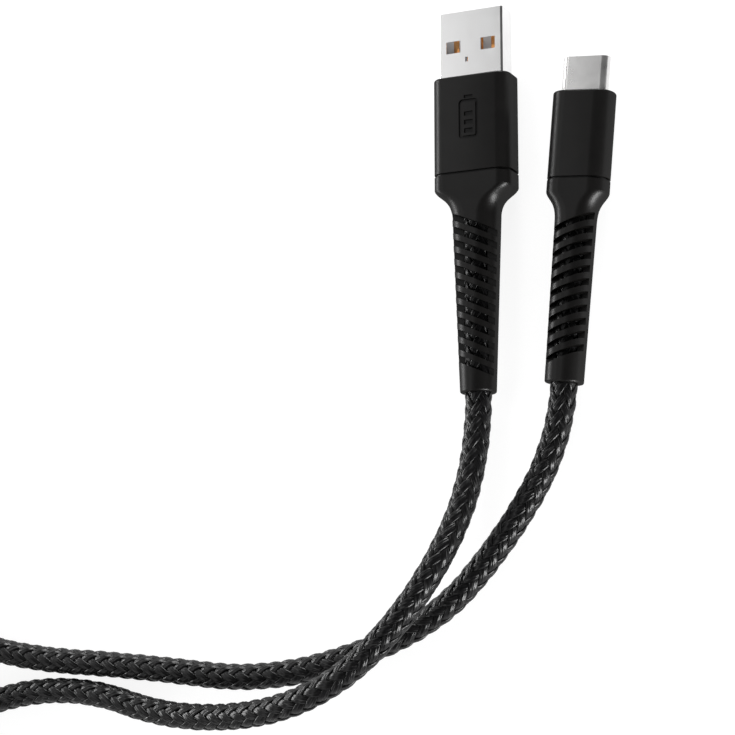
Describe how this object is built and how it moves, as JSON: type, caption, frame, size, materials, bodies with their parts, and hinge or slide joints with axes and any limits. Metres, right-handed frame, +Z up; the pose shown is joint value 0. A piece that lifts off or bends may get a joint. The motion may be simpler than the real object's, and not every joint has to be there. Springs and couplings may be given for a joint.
{
  "type": "charging cable",
  "caption": "Braided charging cable with a USB-A plug and a USB-C plug, slotted strain-relief sleeves, and its spare cord wound in a tied coil.",
  "frame": {"origin": "on the table, under the middle of the box around the two plugs with their sleeves", "axes": "+Y along the USB-A plug towards its tip, +Z up from the table, +X across from the USB-A plug to the USB-C plug"},
  "size_m": [0.1968, 0.1396, 0.0138],
  "materials": {
    "circuit_board": "solder-mask gloss",
    "cord_braid": "glossy nylon braid",
    "gold_plate": "gold-coloured plating",
    "housing_black": "soft-touch satin",
    "inner_mould_resin": "semi-matte",
    "insulator_black": "fine matte",
    "insulator_grey": "fine matte",
    "resistor_body": "gloss",
    "sleeve_rubber": "soft-touch satin",
    "solder": "rough satin",
    "spring_steel": "satin",
    "tie_fabric": "woven strap",
    "tin_plate": "dull tin plate",
    "usb_a_shell_plating": "polished nickel plate",
    "usb_c_shell_steel": "satin",
    "wire_black": "gloss",
    "wire_green": "gloss",
    "wire_red": "gloss",
    "wire_white": "gloss"
  },
  "bodies": {
    "root": {"coil_tie": "tie_fabric", "cord_coil": "cord_braid", "cord_run_a": "cord_braid", "cord_run_c": "cord_braid", "usb_a_contacts": "gold_plate", "usb_a_cord_end": "cord_braid", "usb_a_crimp_ring": "tin_plate", "usb_a_housing": "housing_black", "usb_a_inner_mould": "inner_mould_resin", "usb_a_rear_shield_bottom": "tin_plate", "usb_a_rear_shield_top": "tin_plate", "usb_a_shell": "usb_a_shell_plating", "usb_a_solder_joints": "solder", "usb_a_strain_relief": "sleeve_rubber", "usb_a_tongue": "insulator_grey", "usb_a_wire_black": "wire_black", "usb_a_wire_green": "wire_green", "usb_a_wire_red": "wire_red", "usb_a_wire_white": "wire_white", "usb_c_contacts_lower": "gold_plate", "usb_c_contacts_upper": "gold_plate", "usb_c_cord_end": "cord_braid", "usb_c_crimp_ring": "tin_plate", "usb_c_ground_springs": "spring_steel", "usb_c_housing": "housing_black", "usb_c_inner_mould": "inner_mould_resin", "usb_c_latch_plate": "spring_steel", "usb_c_nose": "insulator_black", "usb_c_paddle_card": "circuit_board", "usb_c_rear_insulator": "insulator_black", "usb_c_rear_shield_bottom": "tin_plate", "usb_c_rear_shield_top": "tin_plate", "usb_c_resistor": "resistor_body", "usb_c_shell": "usb_c_shell_steel", "usb_c_solder_joints": "solder", "usb_c_strain_relief": "sleeve_rubber", "usb_c_wire_black": "wire_black", "usb_c_wire_green": "wire_green", "usb_c_wire_red": "wire_red", "usb_c_wire_white": "wire_white"}
  },
  "joints": []
}
